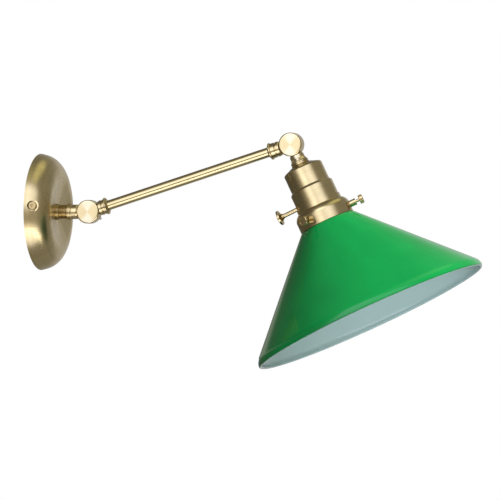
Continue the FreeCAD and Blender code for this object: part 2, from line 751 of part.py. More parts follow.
def arm():
    tension_screw()
    collar("lower_collar", ARM, "(arm_neck + lower_collar_long)")
    tube_end = f"arm_span - {TUBE_START}"
    turned("arm_tube", ARM, span(TUBE_START, tube_end, "tube_radius - tube_wall", "tube_radius"))
    collar("upper_collar", ARM_FROM_TOP, "(arm_neck + upper_collar_long)")
    keep(arm_knuckle("arm_upper_knuckle_body", ARM_FROM_TOP), "arm_upper_knuckle")


# ---------------------------------------------------------------- socket

def head_swivel():
    lip = "head_flare_lip"
    body = knuckle("shade_knuckle_body", HEAD_NECK, neck_outline(
        ("head_neck", "neck_radius"), (f"{HEAD_NECK_END} - {lip}", HEAD_FLARE_R),
        (HEAD_NECK_END, f"{HEAD_FLARE_R} - {lip} / 2"), (HEAD_NECK_END, "nipple_radius"),
        (STUB_END, "nipple_radius"), (STUB_END, 0)), through=False)
    keep(body, "shade_knuckle")
    swivel_hardware("shade", UPPER_PIN)


def lock_ring():
    start, bevel = HEAD_NECK_END, "lock_ring_bevel"
    rib_end = f"({start} + {bevel} + lock_ring_rib)"
    floor_start = f"({rib_end} + lock_ring_slope)"
    floor_end = f"({floor_start} + lock_ring_flat)"
    bottom = f"({LOCK_RING_R} - lock_ring_groove)"
    edge = "lock_ring_slope"
    turned("neck_lock_ring", HEAD, [
        (start, "nipple_radius"), (start, f"{LOCK_RING_R} - {bevel}"), (f"{start} + {bevel}", LOCK_RING_R),
        (rib_end, LOCK_RING_R), (floor_start, bottom), (floor_end, bottom),
        (f"{floor_end} + lock_ring_slope", LOCK_RING_R),
        (f"{LOCK_END} - {edge}", LOCK_RING_R), (LOCK_END, f"{LOCK_RING_R} - {edge}"),
        (LOCK_END, "nipple_radius"),
    ])


def socket_cap():
    knee, inner_knee = f"({LOCK_END} + cap_drop)", f"({CAP_INSIDE} + cap_drop)"
    inner = "(cap_radius - sheet)"
    turned("socket_cap", HEAD, [
        (LOCK_END, "nipple_radius"), (LOCK_END, LOCK_RING_R),
        (f"{knee} - cap_bend", "cap_radius - cap_bend_in"), (f"{knee} + cap_bend", "cap_radius"),
        (CAP_END, "cap_radius"), (CAP_END, inner),
        (f"{inner_knee} + cap_bend", inner), (f"{inner_knee} - cap_bend", f"{inner} - cap_bend_in"),
        (CAP_INSIDE, f"{LOCK_RING_R} - sheet / 2"), (CAP_INSIDE, "nipple_radius"),
    ])
    nut("cap_lock_nut", HEAD, CAP_INSIDE)


def socket_shell():
    lip = "(cap_radius - sheet)"
    hole = f"({INSERT_R} + shell_fit)"
    body = new_body("socket_shell_body", HEAD)
    spin(body, "shell_turning", [
        (f"{CAP_END} - shell_lip", f"{lip} - sheet"), (f"{CAP_END} - shell_lip", lip), (CAP_END, lip),
        (CAP_END, "cap_radius"), (f"{CAP_END} + shell_chamfer", "shell_radius"),
        (SHELL_END, "shell_radius"), (SHELL_END, hole), (f"{SHELL_END} - sheet", hole),
        (f"{SHELL_END} - sheet", SHELL_INNER), (f"{CAP_END} + shell_chamfer + sheet / 2", SHELL_INNER),
        (f"{CAP_END} + sheet", f"{lip} - sheet"),
    ])
    stem_hole(body, "shell_stem_hole", "switch_stem + stem_clear", "shell_radius + cut_past")
    keep(body, "socket_shell")


def stem_hole(body, name, radius, depth):
    """A round hole from the head's axis out to the side that faces the wall."""
    circle = round_hole(body, f"{name}_circle", (SWITCH_AT, 0), radius, "XY_Plane")
    bound(feature(body, "Pocket", name, circle, Length=value(depth)), Length=depth)


def liner():
    body = new_body("liner_body", HEAD)
    spin(body, "liner_turning", span(LINER_START, f"{SHELL_END} - sheet", LINER_INNER, SHELL_INNER))
    stem_hole(body, "liner_stem_hole", "switch_stem + stem_clear", "shell_radius")
    keep(body, "insulating_liner")


def porcelain():
    edge = "insert_edge"
    body = new_body("porcelain_body", HEAD)
    spin(body, "porcelain_turning", [
        (INSERT_START, 0), (INSERT_START, LINER_INNER), (INSERT_COLLAR_END, LINER_INNER),
        (INSERT_COLLAR_END, INSERT_R), (f"{INSERT_END} - {edge}", INSERT_R, edge, "right"),
        (INSERT_END, f"{INSERT_R} - {edge}"), (INSERT_END, LAMP_POCKET), (LAMP_FLOOR, LAMP_POCKET),
        (LAMP_FLOOR, 0),
    ])
    stem_hole(body, "porcelain_stem_hole", "switch_stem + running_gap", f"{INSERT_R} + cut_past")
    stem_hole(body, "rotor_pocket", "rotor_radius + rotor_gap", f"{ROTOR_END} + rotor_gap")
    deep = "insert_collar_long"
    for side in (1, -1):
        place = (f"{side} * {TERMINAL_AT}", 0)
        name = f"terminal_hole_{side + 1}"
        circle = round_hole(body, f"{name}_circle", place, "terminal_shank", "YZ_Plane", INSERT_START)
        hole = feature(body, "Pocket", name, circle, Length=value(deep), Reversed=True)
        bound(hole, Length=deep)
    keep(body, "socket_insert")


def lamp_contacts():
    turned("screw_shell", HEAD, span(f"{LAMP_FLOOR} + lamp_shell_rise", f"{INSERT_END} - lamp_shell_sink",
                                     "lamp_radius", LAMP_POCKET))
    plate_top = f"({LAMP_FLOOR} + contact_thick)"
    turned("centre_contact", HEAD, [
        (LAMP_FLOOR, 0), (LAMP_FLOOR, "contact_radius"), (plate_top, "contact_radius"),
        (f"{plate_top} + contact_dome", "contact_radius / 2"), (f"{plate_top} + contact_dome", 0),
    ])
    pair = []
    for side in (1, -1):
        frame = HEAD * shift(INSERT_START, f"{side} * {TERMINAL_AT}") * turn((0, 1, 0), 180)
        body = new_body(f"terminal_screw_{side + 1}", frame)
        tall = "terminal_head_thick"
        spin(body, f"terminal_turning_{side + 1}", [
            ("-insert_collar_long", 0), ("-insert_collar_long", "terminal_shank"), (0, "terminal_shank"),
            (0, "terminal_head"), (tall, "terminal_head"), (tall, 0),
        ])
        screw_slot(body, f"terminal_slot_{side + 1}", tall, "terminal_head")
        pair.append(body)
    both = doc.addObject("Part::Compound", "terminal_screw_pair")
    both.Links = pair
    keep(both, "terminal_screws")


def switch():
    """The turned key: a rotor inside the porcelain, a stem and a trumpet-shaped knob."""
    turned("switch_knob", around_head(SWITCH_AT, 180), [
        ("rotor_start", 0), ("rotor_start", "rotor_radius"), (ROTOR_END, "rotor_radius"),
        (ROTOR_END, "switch_stem"), (KNOB_NECK, "switch_stem", "knob_flare_arc", "left"),
        (KNOB_MOUTH, "knob_radius"), (f"{KNOB_MOUTH} + knob_rim", "knob_radius", "knob_crown_arc", "right"),
        (f"{KNOB_MOUTH} + knob_crown", 0),
    ])


# ---------------------------------------------------------------- shade holder and shade

def holder():
    collar = "(shell_radius + sheet)"
    shell = new_body("holder_shell", HEAD)
    spin(shell, "holder_turning", [
        (HOLDER_START, "shell_radius"), (HOLDER_START, collar),
        (HOLDER_COLLAR_END, collar, "holder_arc", "right"),
        (HOLDER_SHOULDER, HOLDER_R), (HOLDER_END, HOLDER_R), (HOLDER_END, HOLDER_INNER),
        (f"{HOLDER_SHOULDER} + lip_room", HOLDER_INNER, "holder_arc - sheet", "left"),
        (f"{HOLDER_COLLAR_END} + sheet", "shell_radius"),
    ])
    bosses, holes = [], []
    for index, frame in enumerate(thumb_frames()):
        bosses.append(rod(f"boss_{index}", frame * shift(HOLDER_INNER), "boss_radius",
                          f"{BOSS_END} - {HOLDER_INNER}"))
        inside = frame * shift("glass_neck")
        holes.append(rod(f"boss_hole_{index}", inside, "thumb_stem + running_gap", BOSS_END))
    keep(carved("holder_solid", joined("holder_with_bosses", [shell] + bosses), holes), "shade_holder")


def thumb_frames():
    count = int(value("thumb_count"))
    first = value("thumb_turn_angle")
    return [around_head(BOSS_AT, first + index * 360 / count) for index in range(count)]


def thumb_screws():
    start = f"({THUMB_END} - thumb_head_thick)"
    edge = "thumb_bevel"
    dish_radius = "(thumb_head - thumb_rim)"
    for index, frame in enumerate(thumb_frames()):
        label = f"thumb_screw_{index + 1}"
        body = new_body(f"{label}_body", frame)
        spin(body, f"{label}_turning", [
            ("glass_neck + glass_gap", 0), ("glass_neck + glass_gap", "thumb_stem"), (start, "thumb_stem"),
            (start, f"thumb_head - {edge}"), (f"{start} + {edge}", "thumb_head"),
            (f"{THUMB_END} - {edge}", "thumb_head"), (THUMB_END, f"thumb_head - {edge}"),
            (THUMB_END, f"{dish_radius} + thumb_rim_slope"), (f"{THUMB_END} - thumb_dish", dish_radius),
            (f"{THUMB_END} - thumb_dish", 0),
        ])
        rim = "(thumb_head + knurl_deep / 2)"
        corners = [("thumb_head - knurl_deep", 0), (rim, "-knurl_deep"), (rim, "knurl_deep")]
        sketch = outline(body, f"{label}_knurl_outline", corners, plane="YZ_Plane", offset=THUMB_END)
        cut = feature(body, "Pocket", f"{label}_knurl", sketch, Length=value("thumb_head_thick"))
        bound(cut, Length="thumb_head_thick")
        ring_of(body, f"{label}_knurls", cut, sketch, "thumb_knurls")
        keep(body, label)


def glass():
    cone = "glass_cone_angle"
    bend = "(shade_radius - glass_shoulder)"
    inner_neck = "(glass_neck - glass_wall)"
    inner_bend = "(glass_shoulder - glass_wall)"
    lip = "glass_wall / 2"
    inner_foot = (f"({GLASS_FOOT} + glass_wall * sin({cone})"
                  f" + ({inner_neck} - {GLASS_FOOT_R} + glass_wall * cos({cone})) / tan({cone}))")
    turned("glass_shade", HEAD, [
        (GLASS_TOP, inner_neck), (GLASS_TOP, "glass_neck"), (f"{GLASS_TOP} + glass_lip_slope", GLASS_LIP_R),
        (f"{GLASS_LIP_END} - glass_lip_drop", GLASS_LIP_R), (GLASS_LIP_END, "glass_neck"),
        (GLASS_FOOT, "glass_neck"), (GLASS_FOOT, GLASS_FOOT_R),
        (f"{RIM_ARC} - glass_shoulder * sin({cone})", f"{bend} + glass_shoulder * cos({cone})",
         "glass_shoulder", "right"),
        (RIM_ARC, "shade_radius", lip, "right"),
        (RIM, f"shade_radius - {lip}", lip, "right"),
        (RIM_ARC, "shade_radius - glass_wall", inner_bend, "left"),
        (f"{RIM_ARC} - {inner_bend} * sin({cone})", f"{bend} + {inner_bend} * cos({cone})"),
        (inner_foot, inner_neck),
    ])


# ---------------------------------------------------------------- build, check and write

def check(item):
    shape = item.Shape
    if shape.isNull() or not shape.isValid() or not shape.Solids:
        raise RuntimeError(f"{item.Label} is not a sound solid")


def main():
    plate()
    bracket()
    plate_screws()
    nipple_parts()
    wall_swivel()
    arm()
    head_swivel()
    lock_ring()
    socket_cap()
    socket_shell()
    liner()
    porcelain()
    lamp_contacts()
    switch()
    holder()
    thumb_screws()
    glass()
    doc.recompute()
    for item in doc.Objects:
        if "Invalid" in item.State or "Error" in item.State:
            raise RuntimeError(f"{item.Name} failed: {item.State}")
    os.makedirs("parts", exist_ok=True)
    for item in nodes:
        check(item)
        item.Shape.exportStep(f"parts/{item.Label}.step")
        box = item.Shape.BoundBox
        reach = f"x {box.XMin:.1f} to {box.XMax:.1f}, z {box.ZMin:.1f} to {box.ZMax:.1f}"
        print(f"{item.Label:22} solids {len(item.Shape.Solids)} volume {item.Shape.Volume:9.1f} {reach}")


main()
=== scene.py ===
import json
import math

import bmesh
import bpy
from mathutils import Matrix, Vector


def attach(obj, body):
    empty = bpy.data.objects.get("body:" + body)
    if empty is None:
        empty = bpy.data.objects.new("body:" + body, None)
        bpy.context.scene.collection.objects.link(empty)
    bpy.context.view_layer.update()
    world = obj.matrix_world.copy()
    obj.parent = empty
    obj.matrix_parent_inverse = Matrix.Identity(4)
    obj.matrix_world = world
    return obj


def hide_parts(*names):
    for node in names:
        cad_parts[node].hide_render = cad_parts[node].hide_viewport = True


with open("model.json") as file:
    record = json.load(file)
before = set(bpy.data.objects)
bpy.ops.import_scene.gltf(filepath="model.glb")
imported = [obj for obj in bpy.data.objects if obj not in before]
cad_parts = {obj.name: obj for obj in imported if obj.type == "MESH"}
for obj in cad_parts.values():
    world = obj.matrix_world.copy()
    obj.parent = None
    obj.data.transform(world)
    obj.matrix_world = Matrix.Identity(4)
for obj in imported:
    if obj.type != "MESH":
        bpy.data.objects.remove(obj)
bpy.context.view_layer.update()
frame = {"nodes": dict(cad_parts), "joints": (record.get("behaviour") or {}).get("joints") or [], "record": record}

NODES = frame["nodes"]
MM = 0.001


# ---------------------------------------------------------------- camera

VIEW_AROUND = math.radians(15.4)
VIEW_TARGET = Vector((0.22746, 0.0, -0.04006))
VIEW_DISTANCE = 5.197
LENS_MM = 360.0
SENSOR_MM = 36.0
FAR_CLIP = 60.0


def set_camera():
    """A long lens, level, a little round from square on."""
    lens = bpy.data.cameras.new("camera")
    lens.lens = LENS_MM
    lens.sensor_width = SENSOR_MM
    lens.clip_end = FAR_CLIP
    camera = bpy.data.objects.new("camera", lens)
    bpy.context.scene.collection.objects.link(camera)
    back = Vector((math.sin(VIEW_AROUND), -math.cos(VIEW_AROUND), 0.0))
    camera.location = VIEW_TARGET + back * VIEW_DISTANCE
    camera.rotation_euler = (math.radians(90), 0.0, VIEW_AROUND)
    bpy.context.scene.camera = camera


set_camera()


# ---------------------------------------------------------------- axes of the lamp

JOINTS = {joint["name"]: joint for joint in frame["joints"]}
LOWER_PIN = Vector(JOINTS["wall_tilt"]["pos_m"])
UPPER_PIN = Vector(JOINTS["shade_tilt"]["pos_m"])
ARM_WAY = (UPPER_PIN - LOWER_PIN).normalized()
SOCKET = next(mount for mount in frame["record"]["mounts"] if mount["name"] == "lamp_socket")
HEAD_WAY = Vector(SOCKET["axis"]).normalized()
WALL_WAY = Vector((1.0, 0.0, 0.0))
PIN_WAY = Vector((0.0, 1.0, 0.0))
UP_WAY = Vector((0.0, 0.0, 1.0))
PLATE_CENTRE = Vector((0.0, 0.0, 0.0))
SIDE_SCREW_CENTRE = Vector((8.6 * MM, 0.0, 0.0))


# ---------------------------------------------------------------- shader maths

class Signal:
    """A shader value that takes part in sums: each operator adds one Math node."""

    def __init__(self, graph, socket):
        self.graph = graph
        self.socket = socket

    def math(self, operation, *others, swap=False):
        terms = [self, *others]
        if swap:
            terms.reverse()
        return self.graph.add("ShaderNodeMath", {"operation": operation}, dict(enumerate(terms)))

    def __add__(self, other):
        return self.math("ADD", other)

    def __sub__(self, other):
        return self.math("SUBTRACT", other)

    def __mul__(self, other):
        return self.math("MULTIPLY", other)

    def __pow__(self, other):
        return self.math("POWER", other)

    def __radd__(self, other):
        return self.math("ADD", other, swap=True)

    def __rsub__(self, other):
        return self.math("SUBTRACT", other, swap=True)

    def __rmul__(self, other):
        return self.math("MULTIPLY", other, swap=True)

    def ramp(self, low, high):
        """A smooth step: 0 at low, 1 at high, whichever is larger."""
        return self.graph.add("ShaderNodeMapRange", {"interpolation_type": "SMOOTHSTEP"},
                              {"Value": self, "From Min": low, "From Max": high})

    def band(self, low, high, soft):
        """1 between low and high, with each edge softened by soft to both sides."""
        return self.ramp(low - soft, low + soft) * self.ramp(high + soft, high - soft)


class Graph:
    """A node tree under construction."""

    def __init__(self, tree):
        self.tree = tree

    def add(self, kind, settings=None, inputs=None, out=0):
        """Any node: its type, its settings, then the values or links of its sockets."""
        node = self.tree.nodes.new(kind)
        for name, setting in (settings or {}).items():
            setattr(node, name, setting)
        for name, given in (inputs or {}).items():
            self.feed(node.inputs[name], given)
        return Signal(self, node.outputs[out])

    def feed(self, socket, given):
        if isinstance(given, Signal):
            self.tree.links.new(given.socket, socket)
        else:
            socket.default_value = given

    def blend(self, factor, first, second):
        """A mix of two colours."""
        return self.add("ShaderNodeMix", {"data_type": "RGBA"},
                        {0: factor, 6: first, 7: second}, out=2)

    def dot(self, first, second):
        return self.add("ShaderNodeVectorMath", {"operation": "DOT_PRODUCT"},
                        {0: first, 1: second}, out=1)

    def vector(self, x, y, z):
        return self.add("ShaderNodeCombineXYZ", None, {0: x, 1: y, 2: z})

    def noise(self, vector, scale, detail=2.0, rough=0.5):
        return self.add("ShaderNodeTexNoise", None,
                        {"Vector": vector, "Scale": scale, "Detail": detail, "Roughness": rough})


class Finish(Graph):
    """A material under construction, on one Principled shader."""

    def __init__(self, name):
        self.material = bpy.data.materials.new(name)
        self.material.use_nodes = True
        super().__init__(self.material.node_tree)
        self.shader = self.tree.nodes["Principled BSDF"]

    def set(self, **inputs):
        """Sockets of the shader, by name with _ for spaces."""
        for name, given in inputs.items():
            self.feed(self.shader.inputs[name.replace("_", " ")], given)

    def place(self):
        """The surface point in the lamp's own frame, in metres."""
        return self.add("ShaderNodeTexCoord", out=3)

    def bump(self, height, distance, strength):
        """Fine relief: height is the pattern, distance its depth in metres."""
        self.set(Normal=self.add("ShaderNodeBump", None,
                                 {"Height": height, "Distance": distance, "Strength": strength}))

    def round_axis(self, origin, way):
        """Distance along an axis, distance from it and the angle round it."""
        way = way.normalized()
        side = way.cross(PIN_WAY) if abs(way.dot(PIN_WAY)) < 0.9 else way.cross(WALL_WAY)
        side.normalize()
        other = way.cross(side)
        point = self.add("ShaderNodeVectorMath", {"operation": "SUBTRACT"},
                         {0: self.place(), 1: origin})
        along = self.dot(point, way)
        across = self.dot(point, side)
        over = self.dot(point, other)
        radius = (across * across + over * over) ** 0.5
        return along, radius, across.math("ARCTAN2", over)


# ---------------------------------------------------------------- metals

BRASS = (0.58, 0.470, 0.250, 1.0)
BRASS_DEEP = (0.38, 0.285, 0.13, 1.0)
# Paler brass for the painted highlight streak on the knuckle discs.
BRASS_STREAK_HIGHLIGHT = (0.74, 0.67, 0.50, 1.0)
BRASS_BROWN = (0.26, 0.165, 0.07, 1.0)
STEEL_DULL = (0.55, 0.54, 0.50, 1.0)
STEEL_BRIGHT = (0.75, 0.74, 0.70, 1.0)
EARTH_GREEN = (0.02, 0.22, 0.05, 1.0)
EARTH_GREEN_PALE = (0.04, 0.32, 0.08, 1.0)


def patina(finish, colour, amount):
    """Cloudy tone over a brass, with faint brown spots where the lacquer has thinned."""
    clouds = finish.noise(finish.place(), 42.0, 4.0).ramp(0.35, 0.72)
    spots = finish.noise(finish.place(), 260.0, 3.0).ramp(0.62, 0.80)
    toned = finish.blend(clouds * amount, colour, BRASS_DEEP)
    return finish.blend(spots * (amount * 0.45), toned, BRASS_BROWN)


def turned_brass(name, origin, way, rough=0.24, colour=BRASS, age=0.3, lined=0.3):
    """Brass turned on a lathe: fine rings round its axis, strongest where lined is high."""
    finish = Finish(name)
    along, radius, angle = finish.round_axis(origin, way)
    rings = finish.noise(finish.vector(along * 420.0, radius * 420.0, angle * 0.5), 1.0, 2.0, 0.55)
    wide = finish.noise(finish.vector(along * 110.0, radius * 110.0, angle * 0.9), 1.0, 3.0, 0.5)
    tone = finish.blend(rings.ramp(0.45, 0.85) * lined, patina(finish, colour, age), BRASS_DEEP)
    finish.set(Metallic=1.0, Base_Color=tone, Roughness=rough + (wide - 0.5) * 0.10)
    finish.bump(rings, 0.000015, 0.2)
    return finish.material


def faced_brass(name, origin, way, rough=0.27):
    """The turned face of a knuckle's disc: smooth, with a painted highlight in two soft rays that spread up and
    down from its centre.
    """
    finish = Finish(name)
    along, radius, angle = finish.round_axis(origin, way)
    rings = finish.noise(finish.vector(along * 260.0, radius * 260.0, angle * 0.3), 1.0, 2.0, 0.5)
    # Painted highlight: paler brass in a streak up and down through the centre, standing in for the lights that
    # the turned face mirrors.
    painted_streak = (angle.math("SINE") ** 2.0).ramp(0.30, 1.0)
    tone = finish.blend(painted_streak * 0.55, patina(finish, BRASS, 0.15), BRASS_STREAK_HIGHLIGHT)
    tone = finish.blend(rings.ramp(0.5, 0.9) * 0.2, tone, BRASS_DEEP)
    finish.set(Metallic=1.0, Base_Color=tone, Roughness=rough + (rings - 0.5) * 0.08)
    return finish.material


def drawn_brass(name, origin, way, rough=0.17):
    """Polished tube: faint lines along its length."""
    finish = Finish(name)
    along, radius, angle = finish.round_axis(origin, way)
    lines = finish.noise(finish.vector(along * 14.0, angle * 9.0, radius * 100.0), 1.0, 3.0)
    tone = finish.blend(lines.ramp(0.4, 0.8) * 0.3, patina(finish, BRASS, 0.25), BRASS_DEEP)
    finish.set(Metallic=1.0, Base_Color=tone, Roughness=rough + (lines - 0.5) * 0.1)
    finish.bump(lines, 0.00002, 0.2)
    return finish.material


def spun_plate(name):
    """The wall plate: satin brass brushed in circles, with a few darker, rougher rays from its centre painted in
    as the reflection streaks that circular brushing shows.
    """
    finish = Finish(name)
    along, radius, angle = finish.round_axis(PLATE_CENTRE, WALL_WAY)
    rings = finish.noise(finish.vector(along * 330.0, radius * 330.0, angle * 0.6), 1.0, 3.0, 0.6)
    # Painted reflection streaks: random rays round the centre, blended towards deep brass.
    painted_rays = finish.noise(finish.vector(angle * 4.0, radius * 10.0, along * 10.0), 1.0, 3.0).ramp(0.35, 0.7)
    tone = finish.blend(painted_rays * 0.28, BRASS, BRASS_DEEP)
    tone = finish.blend(rings.ramp(0.42, 0.75) * 0.35, tone, BRASS_DEEP)
    finish.set(Metallic=1.0, Base_Color=tone, Roughness=0.26 + painted_rays * 0.06 + (rings - 0.5) * 0.1)
    finish.bump(rings, 0.00002, 0.2)
    return finish.material


def steel(name):
    """Zinc-plated steel, with a fine bright speckle."""
    finish = Finish(name)
    specks = finish.noise(finish.place(), 1500.0, 2.0)
    finish.set(Metallic=1.0, Base_Color=finish.blend(specks, STEEL_DULL, STEEL_BRIGHT),
               Roughness=0.28 + specks * 0.15)
    finish.bump(specks, 0.00005, 0.2)
    return finish.material


def lacquered_green(name):
    """The earth screw's green lacquer."""
    finish = Finish(name)
    specks = finish.noise(finish.place(), 800.0, 2.0)
    finish.set(Base_Color=finish.blend(specks, EARTH_GREEN, EARTH_GREEN_PALE),
               Roughness=0.3 + specks * 0.1, Metallic=0.2)
    return finish.material


WASHER_DARK = (0.02, 0.018, 0.016, 1.0)
WASHER_GREY = (0.05, 0.045, 0.04, 1.0)
CARD_BROWN = (0.12, 0.07, 0.035, 1.0)
CARD_PALE = (0.24, 0.16, 0.09, 1.0)
PORCELAIN_WARM = (0.80, 0.79, 0.75, 1.0)
PORCELAIN_WHITE = (0.88, 0.87, 0.84, 1.0)


def fibre(name, dark, light):
    """Pressed fibre or card, matt and slightly hairy."""
    finish = Finish(name)
    strands = finish.noise(finish.place(), 1200.0, 4.0)
    finish.set(Base_Color=finish.blend(strands, dark, light), Roughness=0.7 + strands * 0.2)
    finish.bump(strands, 0.0001, 0.4)
    return finish.material


def porcelain(name):
    """Glazed white porcelain."""
    finish = Finish(name)
    cloud = finish.noise(finish.place(), 120.0, 3.0)
    finish.set(Base_Color=finish.blend(cloud, PORCELAIN_WARM, PORCELAIN_WHITE),
               Roughness=0.12 + cloud * 0.08, Coat_Weight=0.6, Coat_Roughness=0.05)
    return finish.material


# ---------------------------------------------------------------- glass

GREEN = (0.0022, 0.150, 0.0290, 1.0)
GREEN_DEEP = (0.0017, 0.130, 0.0256, 1.0)
OPAL = (0.40, 0.56, 0.53, 1.0)
OPAL_COOL = (0.37, 0.53, 0.50, 1.0)
GLASS_IOR = 1.36


def cased_glass(name, pale, deep, rough):
    """One face of the two-layer glass: even colour, faint cords in the glass, a fire-polished skin."""
    finish = Finish(name)
    along, radius, angle = finish.round_axis(UPPER_PIN, HEAD_WAY)
    cords = finish.noise(finish.vector(angle * 2.0, along * 22.0, radius * 9.0), 1.0, 3.0)
    seeds = finish.noise(finish.place(), 420.0, 2.0).ramp(0.72, 0.80)
    finish.set(Base_Color=finish.blend(cords.ramp(0.3, 0.75), pale, deep),
               Roughness=rough + seeds * 0.12, IOR=GLASS_IOR)
    finish.bump(cords, 0.0006, 0.2)
    return finish.material


# ---------------------------------------------------------------- pieces in the lamp's frame

TURN_STEPS = 192


def lathe(name, profile, origin, way, slots):
    """A closed ring of (along, radius) points turned about an axis. slots(i) picks the material
    index of the band between points i and i + 1."""
    way = way.normalized()
    side = way.cross(PIN_WAY).normalized()
    other = way.cross(side)
    mesh = bpy.data.meshes.new(name)
    build = bmesh.new()
    rings = []
    for step in range(TURN_STEPS):
        angle = 2 * math.pi * step / TURN_STEPS
        out = side * math.cos(angle) + other * math.sin(angle)
        rings.append([build.verts.new(origin + way * along + out * radius)
                      for along, radius in profile])
    count = len(profile)
    for step in range(TURN_STEPS):
        here, after = rings[step], rings[(step + 1) % TURN_STEPS]
        for index in range(count):
            following = (index + 1) % count
            face = build.faces.new((here[index], here[following], after[following], after[index]))
            face.smooth = True
            face.material_index = slots(index)
    bmesh.ops.recalc_face_normals(build, faces=build.faces)
    build.to_mesh(mesh)
    build.free()
    piece = bpy.data.objects.new(name, mesh)
    bpy.context.scene.collection.objects.link(piece)
    return piece


def arc(centre, radius, start, stop, steps):
    """Points on a circle in the (along, radius) plane; angles in degrees from the axis."""
    points = []
    for step in range(steps + 1):
        angle = math.radians(start + (stop - start) * step / steps)
        points.append((centre[0] + radius * math.cos(angle), centre[1] + radius * math.sin(angle)))
    return points


def between(first, last, steps):
    """Evenly spaced points from first to last, both left out."""
    return [tuple(start + (stop - start) * (step / steps) for start, stop in zip(first, last))
            for step in range(1, steps)]


# ---------------------------------------------------------------- glass shade

GLASS_WALL = 3.5 * MM
CONE = math.radians(43.5)
NECK = 26.4 * MM
LIP = 28.2 * MM
GLASS_TOP = 76.6 * MM
FOOT = 89.9 * MM
FOOT_RADIUS = 30.0 * MM
SHADE_RADIUS = 127.0 * MM
SHOULDER = 11.0 * MM
WALL_STEPS = 24
SHOULDER_STEPS = 12
RIM_STEPS = 5
GREEN_RIM_STEPS = 3


def shade_profile():
    """The glass's section: outside down from the lip to the rim, then back up inside. Also the
    number of points in its outer half."""
    bend = SHADE_RADIUS - SHOULDER
    end = FOOT + (SHADE_RADIUS - FOOT_RADIUS) / math.tan(CONE) + SHOULDER * math.tan(CONE / 2)
    lean = 90 + math.degrees(CONE)
    half = GLASS_WALL / 2
    rim_centre = (end, SHADE_RADIUS - half)
    neck_inside = NECK - GLASS_WALL

    outside = [(GLASS_TOP, NECK), (GLASS_TOP + 1.0 * MM, NECK + 1.2 * MM), (GLASS_TOP + 1.8 * MM, LIP)]
    outside += [(GLASS_TOP + 3.0 * MM, LIP), (GLASS_TOP + 3.2 * MM, NECK), (FOOT, NECK)]
    outside += [(FOOT, FOOT_RADIUS - 0.6 * MM), (FOOT + 0.35 * MM, FOOT_RADIUS + 0.1 * MM)]
    cone_end = (end - SHOULDER * math.sin(CONE), bend + SHOULDER * math.cos(CONE))
    outside += between(outside[-1], cone_end, WALL_STEPS)
    outside += arc((end, bend), SHOULDER, lean, 90, SHOULDER_STEPS)
    outside += arc(rim_centre, half, 90, 0, RIM_STEPS)[1:]

    inside = arc(rim_centre, half, 0, -90, RIM_STEPS)[1:]
    inside += arc((end, bend), SHOULDER - GLASS_WALL, 90, lean, SHOULDER_STEPS)[1:]
    inner_foot = (FOOT + GLASS_WALL * math.sin(CONE)
                  + (neck_inside - FOOT_RADIUS + GLASS_WALL * math.cos(CONE)) / math.tan(CONE))
    inside += between(inside[-1], (inner_foot, neck_inside), WALL_STEPS)
    inside += [(inner_foot, neck_inside), (GLASS_TOP, neck_inside)]
    return outside + inside, len(outside)


def make_shade():
    """The cased shade, green outside and opal from the rim's outer edge inwards."""
    profile, outer_count = shade_profile()
    green_count = outer_count - GREEN_RIM_STEPS
    shade = lathe("glass_cone_shade", profile, UPPER_PIN, HEAD_WAY,
                  lambda index: 0 if index < green_count else 1)
    shade.data.materials.append(cased_glass("green_glass", GREEN, GREEN_DEEP, 0.06))
    shade.data.materials.append(cased_glass("opal_glass", OPAL, OPAL_COOL, 0.10))
    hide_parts("glass_shade")
    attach(shade, "shade_head")


make_shade()


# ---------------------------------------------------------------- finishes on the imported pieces

SMOOTH_ANGLE = math.radians(32)


def dress():
    """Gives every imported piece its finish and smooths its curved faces."""
    head = turned_brass("head_brass", UPPER_PIN, HEAD_WAY, rough=0.24)
    arm = drawn_brass("arm_brass", LOWER_PIN, ARM_WAY)
    collars = turned_brass("collar_brass", LOWER_PIN, ARM_WAY, rough=0.2, age=0.4)
    discs = faced_brass("disc_brass", LOWER_PIN, PIN_WAY)
    top_discs = faced_brass("top_disc_brass", UPPER_PIN, PIN_WAY, rough=0.24)
    polished = turned_brass("polished_brass", UPPER_PIN, HEAD_WAY, rough=0.2, age=0.4, lined=0.1)
    stem = turned_brass("stem_brass", PLATE_CENTRE, WALL_WAY, rough=0.3, colour=BRASS_DEEP, age=0.6)
    screws = turned_brass("screw_brass", SIDE_SCREW_CENTRE, PIN_WAY, rough=0.34, colour=BRASS_DEEP)
    plated = steel("plated_steel")
    finishes = {
        "canopy": spun_plate("spun_brass"),
        "mounting_bracket": plated, "threaded_nipple": plated, "nipple_lock_nut": plated,
        "nipple_lock_washer": plated, "tension_screw": plated, "cap_lock_nut": plated,
        "ground_screw": lacquered_green("earth_green"),
        "side_screws": screws,
        "nipple_base_ring": stem, "stem_sleeve": stem,
        "wall_knuckle": discs, "wall_hinge_screw": discs, "arm_lower_knuckle": discs,
        "arm_upper_knuckle": top_discs, "shade_knuckle": top_discs, "shade_hinge_screw": top_discs,
        "wall_friction_washer": fibre("washer_fibre", WASHER_DARK, WASHER_GREY),
        "shade_friction_washer": fibre("upper_washer_fibre", WASHER_DARK, WASHER_GREY),
        "insulating_liner": fibre("liner_card", CARD_BROWN, CARD_PALE),
        "lower_collar": collars, "upper_collar": collars, "arm_tube": arm,
        "socket_insert": porcelain("white_porcelain"),
        "switch_knob": polished,
        "thumb_screw_1": polished, "thumb_screw_2": polished, "thumb_screw_3": polished,
    }
    for name, node in NODES.items():
        node.data.materials.clear()
        node.data.materials.append(finishes.get(name, head))
        for face in node.data.polygons:
            face.use_smooth = True
        bpy.context.view_layer.objects.active = node
        node.select_set(True)
        bpy.ops.object.shade_smooth_by_angle(angle=SMOOTH_ANGLE)
        node.select_set(False)


dress()


# ---------------------------------------------------------------- studio

STUDIO_MIDDLE = Vector((0.30, 0.0, -0.02))
BOX_DISTANCE = 2.2
BOX_SIDE = 0.5


